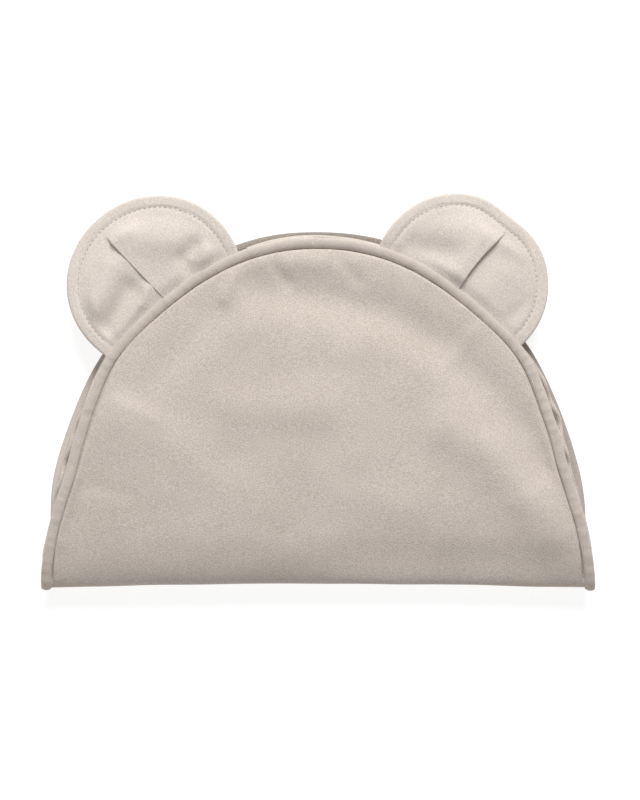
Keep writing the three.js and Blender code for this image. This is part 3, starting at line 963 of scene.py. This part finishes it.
class Ear:
    """One ear: its own plane, its outline and its padded surface."""

    def __init__(self, name):
        joint = JOINTS[f"{name}_flop"]
        self.name = name
        self.form = EAR_FORMS[name]
        self.bend = np.array(joint["pos_m"][:2]) / MM - (0, FOLD_Y)
        axis = np.array(joint["axis"][:2])
        self.out = np.array([axis[1], -axis[0]]) / np.linalg.norm(axis)
        self.out *= np.sign(self.out[1])
        self.along = np.array([self.out[1], -self.out[0]])
        face = hood_surface(*self.bend.reshape(2, 1), creased=False)
        self.base_height = float(face[0]) - (COVER_TOP - CLOTH_MIDDLE)

    def own(self, points):
        offset = points - self.bend
        return np.stack([offset @ self.along, offset @ self.out], axis=-1)

    def on_hood(self, x, y):
        return self.bend + x[..., None] * self.along + y[..., None] * self.out

    def placed(self, x, y, z):
        return np.concatenate([self.on_hood(x, y), z[..., None]], axis=-1)

    def radius(self, angle):
        place, reach, amount = self.form["flat"]
        return EAR_RADIUS + amount * bell((angle - place) / reach) + 0.5 * np.sin(3 * angle + 0.6)

    def rim_distance(self, x, y):
        offset_y = y - self.form["centre"]
        return self.radius(np.arctan2(offset_y, x)) - np.hypot(x, offset_y)

    def middle_height(self, x, y):
        """The ear droops from its seam, and its two plies wave together."""
        droop = EAR_DROOP * np.square(np.clip(y / 60.0, 0, 1.2))
        seed = 1.7 if self.form["over"] > 0 else 6.3
        rim = bell(self.rim_distance(x, y) / 14.0)
        return self.base_height - droop + 0.5 * waves(x, y, 22.0, seed) * (0.4 + rim)

    def half_thickness(self, x, y):
        rim = self.rim_distance(x, y)
        edge = np.sqrt(np.clip(1 - np.square(1 - np.clip(rim / EAR_RIM_ROUND, 0, 1)), 0.0, 1))
        full = EAR_PLY * edge
        full = full - EAR_STITCH_DIP * bell((rim - EAR_STITCH_INSET) / 0.9)
        full = full + EAR_FILLING * smooth((rim - EAR_STITCH_INSET - 0.5) / 14.0)
        return full

    def face_rise(self, x, y):
        """How far the front ply's folds stand off the padding. They die out at the topstitching."""
        inner = smooth((self.rim_distance(x, y) - EAR_STITCH_INSET - 0.6) / 8.0)
        return inner * fold_lines(x, y, EAR_FOLDS[self.name])

    def pleat_share(self, y):
        fade = self.form["fade"]
        return 1 - smooth((y - self.form["end"]) / fade + 0.75)

    def pleated(self, x, y):
        """The front ply laps over itself along the pleat: the moved x, and the rise."""
        over = self.form["over"]
        start, lean, curve = self.form["pleat"]
        from_pleat = (x - start - lean * y - curve * y**2) * over
        share = self.pleat_share(y)
        t = np.clip(from_pleat / PLEAT_WIDTH, -0.5, 0.5)
        moved = x - over * PLEAT_LAP * share * np.sin(2 * math.pi * t)
        step = smooth((from_pleat / (PLEAT_WIDTH * 0.55)) + 0.5)
        corner = 1 + self.form["corner"] * bell((y - self.form["end"] + 4.0) / 7.0)
        rise = self.form["rise"] * corner * share * step * (1 - 0.85 * smooth((from_pleat - 5.0) / 26.0))
        return moved, rise

    def front(self, x, y):
        moved, rise = self.pleated(x, y)
        rise = rise + self.half_thickness(x, y) + self.face_rise(x, y)
        return moved, y, self.middle_height(x, y) + rise * self.freed(x, y)

    def back(self, x, y):
        rise = -0.85 * self.half_thickness(x, y)
        return x, y, self.middle_height(x, y) + rise * self.freed(x, y)

    def freed(self, x, y):
        """The plies are pressed flat where the hood's binding holds them, and spring free outside it."""
        plan = self.on_hood(x, y)
        inside = edge_distance(plan[..., 0], plan[..., 1])
        return 0.3 + 0.7 * smooth((1.5 - inside) / 8.0)

    def base_line(self):
        arch = hood_arch(3000)
        own = self.own(arch - EAR_BASE_TUCK * arch_normals(arch))
        inside = self.rim_distance(own[:, 0], own[:, 1]) > 1.5
        own = own[inside]
        return own[np.argsort(own[:, 0])]

    def rim_ends(self, base, lift):
        """The directions from the ear's centre to the two ends of its base, raised by this lift."""
        ends = base[[0, -1]] + (0, lift - self.form["centre"])
        left, right = np.arctan2(ends[:, 1], ends[:, 0])
        return left % (2 * math.pi), right

    def padding(self):
        """The two plies as one closed form, turned right side out, with its base caught in the binding."""
        base = self.base_line()
        q = np.linspace(-1, 1, 150)
        across = 0.5 + 0.5 * np.sign(q) * np.abs(q) ** 1.55
        reach = np.linspace(0, 1, len(base))
        low = np.stack([np.interp(across, reach, base[:, i]) for i in range(2)], axis=1)
        centre = self.form["centre"]
        left, right = self.rim_ends(base, 0.0)
        angle = left + (right - left) * across
        size = self.radius(angle)
        rim = np.stack([size * np.cos(angle), centre + size * np.sin(angle)], axis=1)
        near_rim = np.array(EAR_RIM_STEPS) / EAR_REACH
        shares = np.concatenate([near_rim, np.linspace(near_rim[-1], 1, 30)[1:]])
        x = rim[None, :, 0] + (low[None, :, 0] - rim[None, :, 0]) * shares[:, None]
        y = rim[None, :, 1] + (low[None, :, 1] - rim[None, :, 1]) * shares[:, None]
        front = self.placed(*self.front(x, y))
        back = self.placed(*self.back(x, y))
        rows, columns = x.shape
        vertices = np.vstack([front.reshape(-1, 3), back.reshape(-1, 3)])
        faces = ring_faces(rows, columns, False)
        total = rows * columns
        faces += [tuple(total + v for v in reversed(face)) for face in ring_faces(rows, columns, False)]
        around = list(range(columns))
        around += [k * columns + columns - 1 for k in range(1, rows)]
        around += [(rows - 1) * columns + k for k in range(columns - 2, -1, -1)]
        around += [k * columns for k in range(rows - 2, 0, -1)]
        for here, after in zip(around, around[1:] + around[:1]):
            faces.append((after, here, total + here, total + after))
        return mesh_piece(f"{self.name}_padding", vertices, faces, EAR_VELOUR_PAINTED_LIGHT)

    def stitching(self):
        centre = self.form["centre"]
        left, right = self.rim_ends(self.base_line(), EAR_STITCH_START)
        angle = np.linspace(right, left, 500)
        radius = self.radius(angle) - EAR_STITCH_INSET
        x, y = radius * np.cos(angle), centre + radius * np.sin(angle)
        line = self.placed(*self.front(x, y))
        return stitches(f"{self.name}_stitching", line, facing(UP, len(line)), THREAD)

    def bend_over(self, piece):
        """Bakes the piece's placement into its mesh."""
        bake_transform(piece)


# ---- the hood's inner side ----

FLAT_POINTS = 220
FLAT_RINGS = 14


def flat_cloth(name, loop, core, height_of, material, thickness, corner_rounds=2):
    """A small flat cloth, closed all round, that follows the cloth it is sewn to."""
    loop = closed_outline(loop, FLAT_POINTS, corner_rounds)
    plan, _ = radial_plan(loop, core, FLAT_RINGS)
    x, y = plan[..., 0], plan[..., 1]
    middle = (*core, float(height_of(core[:1], core[1:])[0]))
    return radial_sheet(name, x, y, height_of(x, y), middle, material, thickness)


def inner_layer(below):
    return lambda x, y: hood_surface(x, y, below)


def pocket_loop(mouth):
    arch = hood_arch(900)
    arch = arch - (BINDING_WIDTH + 0.6) * arch_normals(arch)
    return arch[arch[:, 1] > mouth]


def box_loop(low, high):
    return np.array([[low[0], low[1]], [high[0], low[1]], [high[0], high[1]], [low[0], high[1]]], float)


# The hood's cut runs on past its arch, round the fold: its mean length there.
HOOD_TURN_MEAN = 8.0
# The pocket's cut in metres, and the share of its cut that its arch leaves.
POCKET_CUT = (0.311, 0.152)
POCKET_AREA_SHARE = 0.8
POCKET_CORE = np.array([0.0, 120.0])
HEM_POINTS = 160
HEM_HALF = 1.05
HEM_STITCH_INSETS = (1.6, 3.4)
LABEL_THICK = 0.5
LABEL_STITCH_INSET = 1.6
LABEL_STITCH_POINTS = 30


def arch_area(arch):
    """The flat area between an arch and the line through its feet."""
    return float(abs(np.sum(np.diff(arch[:, 1]) * (arch[1:, 0] + arch[:-1, 0]) / 2)))


def pocket_hem_pieces(low, high, below):
    """The folded hem along the pocket's mouth, and the rows of stitching that hold it."""
    side = pocket_loop(low[1])[0, 0]
    x = np.linspace(-side, side, HEM_POINTS)
    y = high[1] + uneven(x, 0 * x, HEM_WAVE)
    path = np.stack([x, y, inner_layer(below)(x, y)], axis=1)
    away, down = facing((0, 1, 0), HEM_POINTS), facing(DOWN, HEM_POINTS)
    section = binding_section(high[1] - low[1], HEM_HALF)
    hem = swept_strip("pocket_mouth_hem", path, away, down, section, VELOUR)
    rows = []
    for k, inset in enumerate(HEM_STITCH_INSETS):
        row = path + (0, -inset, -1.0)
        rows.append(stitches(f"pocket_hem_stitching_{k + 1}", row[6:-6], down[6:-6], THREAD, lift=0.0))
    return hem, rows


def label_pieces(below):
    """A blank label, and the row of stitching that holds it."""
    low, high = plan_box("care_label")
    outline = evenly(box_loop(low, high), FLAT_POINTS, closed=True)
    middle = (low + high) / 2
    label = flat_cloth("care_label_blank", outline, middle, inner_layer(below), LABEL, LABEL_THICK, 1)
    x = np.full(LABEL_STITCH_POINTS, high[0] - LABEL_STITCH_INSET)
    y = np.linspace(low[1] + 1, high[1] - 1, LABEL_STITCH_POINTS)
    line = np.stack([x, y, inner_layer(below + LABEL_THICK)(x, y)], axis=1)
    row = stitches("care_label_stitching", line, facing(DOWN, LABEL_STITCH_POINTS), THREAD, 1.8, 2.6)
    return label, row


def plan_box(node):
    low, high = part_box(node)
    return (
        np.array([low.x / MM, low.y / MM - FOLD_Y]),
        np.array([high.x / MM, high.y / MM - FOLD_Y]),
    )


# ---- putting it together ----

# The cloths' edges are caught this far inside the binding's back.
COVER_INSET = 2.0
TERRY_INSET = 2.4


def build_hood():
    cover = hood_sheet("hood_cover", 0.0, COVER_INSET, VELOUR, COVER_THICK)
    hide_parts("hood_outer")
    lining = hood_sheet("hood_terry", LINING_BELOW, TERRY_INSET, TERRY, TERRY_THICK)
    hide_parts("hood_lining")
    binding = hood_binding_piece()
    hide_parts("hood_binding")

    low, high = plan_box("pocket_hem")
    pocket_below = LINING_BELOW + TERRY_THICK + PLY_GAP
    pocket_thick = frame_thickness("pocket_panel")
    outline = pocket_loop(high[1] - 1.0)
    pocket = flat_cloth("pocket_cloth", outline, POCKET_CORE, inner_layer(pocket_below), VELOUR, pocket_thick)
    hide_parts("pocket_panel")
    hem, rows = pocket_hem_pieces(low, high, pocket_below + pocket_thick / 2)
    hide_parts("pocket_hem")
    label, label_row = label_pieces(pocket_below)
    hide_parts("care_label")

    for piece in (pocket, hem, label, label_row, *rows):
        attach(piece, "hood")
    for piece in (cover, lining, binding):
        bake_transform(piece)

    area = (arch_area(hood_arch(900)) + 2 * HALF_WIDTH * HOOD_TURN_MEAN) * MM**2
    area = POCKET_AREA_SHARE * POCKET_CUT[0] * POCKET_CUT[1]


def build_fold():
    cover = fold_sheet("fold_cover", 0.0, COVER_INSET, VELOUR, COVER_THICK)
    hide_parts("fold_outer")
    lining = fold_sheet("fold_terry", LINING_BELOW, TERRY_INSET, TERRY, TERRY_THICK)
    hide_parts("fold_lining")
    edges = []
    for name, side in (("left", -1), ("right", 1)):
        edge = fold_binding_piece(f"fold_{name}_edge", side)
        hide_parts(f"fold_{name}_binding")
        edges.append(edge)
    for piece in (cover, lining, *edges):
        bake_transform(piece)


def build_panel(name):
    cloth = panel_shell(name, "cloth", 0.0, 0.0, PANEL_FINISH[name], COVER_THICK)
    terry = panel_shell(name, "terry", LINING_BELOW, TERRY_BACK[name], TERRY, TERRY_THICK * TERRY_FULLNESS)
    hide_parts(f"{name}_outer")
    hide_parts(f"{name}_lining")
    edges = []
    for side in ("left", "right"):
        edge = wing_binding(name, side)
        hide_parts(f"{name}_{side}_wing_binding")
        edges.append(edge)
    for piece in (cloth, terry, *edges):
        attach(piece, "folded_towel")


def upper_turn_path(low, high):
    return crown_path(panel_arch("middle_panel", -0.4), high.x / MM, (low.z + high.z) / 2 / MM)


def lower_turn_path(low, high):
    x = np.linspace(low.x / MM, high.x / MM, 80)
    y = LOWER_TURN_PLACE + uneven(x, 0 * x, LOWER_TURN_WAVE)
    return np.stack([x, y, np.full(80, (low.z + high.z) / 2 / MM)], axis=1)


def build_body():
    for name in PANEL_BOXES:
        build_panel(name)
    upper = turn_piece("upper_turn_cloth", "upper_turn", upper_turn_path)
    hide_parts("upper_turn")
    lower = turn_piece("lower_turn_cloth", "lower_turn", lower_turn_path)
    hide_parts("lower_turn")
    tail_low, tail_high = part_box("tail_binding")
    path = crown_path(panel_arch("top_panel", -3.2), tail_high.x / MM, (tail_low.z + tail_high.z) / 2 / MM)
    section = binding_section(WING_BINDING_WIDTH, TAIL_BINDING_HALF)
    tail = swept_strip("tail_edge", path, from_panel_core(path), facing(UP, len(path)), section, BINDING)
    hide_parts("tail_binding")
    for piece in (upper, lower, tail):
        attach(piece, "folded_towel")


def build_ears():
    for name in EAR_FORMS:
        ear = Ear(name)
        padding = ear.padding()
        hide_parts(f"{name}_front", f"{name}_back", f"{name}_base")
        stitching = ear.stitching()
        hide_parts(f"{name}_topstitch")
        ear.bend_over(padding)
        ear.bend_over(stitching)


# ---- floor, light and camera ----

FLOOR_TONE = (0.36, 0.36, 0.36, 1)
FLOOR_HALF = 4.0
FLOOR_PLACE = -0.0004
SENSOR_WIDTH = 36.0
WORLD_LIGHT = 0.36
FLOOR_GLOW = 0.78
LAMPS = [
    ("window light", (0.16, 1.66, 1.3), 1.2, 53.0),
    ("room fill", (-0.7, -1.2, 1.6), 1.6, 5.0),
]
LENS = 105.0
FRAME_HEIGHT = 0.4901
VIEW_CENTRE = (0.0015, -0.0048)


def build_stage():
    floor_finish = bpy.data.materials.new("pale paper floor")
    floor_finish.use_nodes = True
    tree = floor_finish.node_tree
    shader = tree.nodes["Principled BSDF"]
    shader.inputs["Base Color"].default_value = FLOOR_TONE
    shader.inputs["Emission Color"].default_value = (1, 1, 1, 1)
    shader.inputs["Emission Strength"].default_value = FLOOR_GLOW
    shader.inputs["Roughness"].default_value = 0.9
    shader.inputs["Specular IOR Level"].default_value = 0.1
    mesh = bpy.data.meshes.new("floor")
    corners = [(x * FLOOR_HALF, y * FLOOR_HALF, 0) for x, y in ((-1, -1), (1, -1), (1, 1), (-1, 1))]
    mesh.from_pydata(corners, [], [(0, 1, 2, 3)])
    mesh.materials.append(floor_finish)
    floor = bpy.data.objects.new("floor", mesh)
    floor.location.z = FLOOR_PLACE
    bpy.context.scene.collection.objects.link(floor)

    world = bpy.data.worlds.new("soft studio")
    world.use_nodes = True
    world.node_tree.nodes["Background"].inputs["Color"].default_value = (1, 1, 1, 1)
    world.node_tree.nodes["Background"].inputs["Strength"].default_value = WORLD_LIGHT
    bpy.context.scene.world = world
    bpy.context.scene.view_settings.view_transform = "Standard"
    for name, place, size, power in LAMPS:
        light = bpy.data.lights.new(name, "AREA")
        light.shape = "DISK"
        light.size = size
        light.energy = power
        lamp = bpy.data.objects.new(name, light)
        lamp.location = place
        lamp.rotation_euler = (-Vector(place)).to_track_quat("-Z", "Y").to_euler()
        bpy.context.scene.collection.objects.link(lamp)


def build_camera():
    camera = bpy.data.cameras.new("overhead camera")
    camera.lens = LENS
    camera.sensor_width = SENSOR_WIDTH
    camera.clip_end = 20.0
    eye = bpy.data.objects.new("overhead camera", camera)
    distance = FRAME_HEIGHT * LENS / SENSOR_WIDTH
    eye.location = (*VIEW_CENTRE, COVER_TOP * MM + distance)
    bpy.context.scene.collection.objects.link(eye)
    bpy.context.scene.camera = eye


build_camera()
build_stage()
build_body()
build_fold()
build_hood()
build_ears()
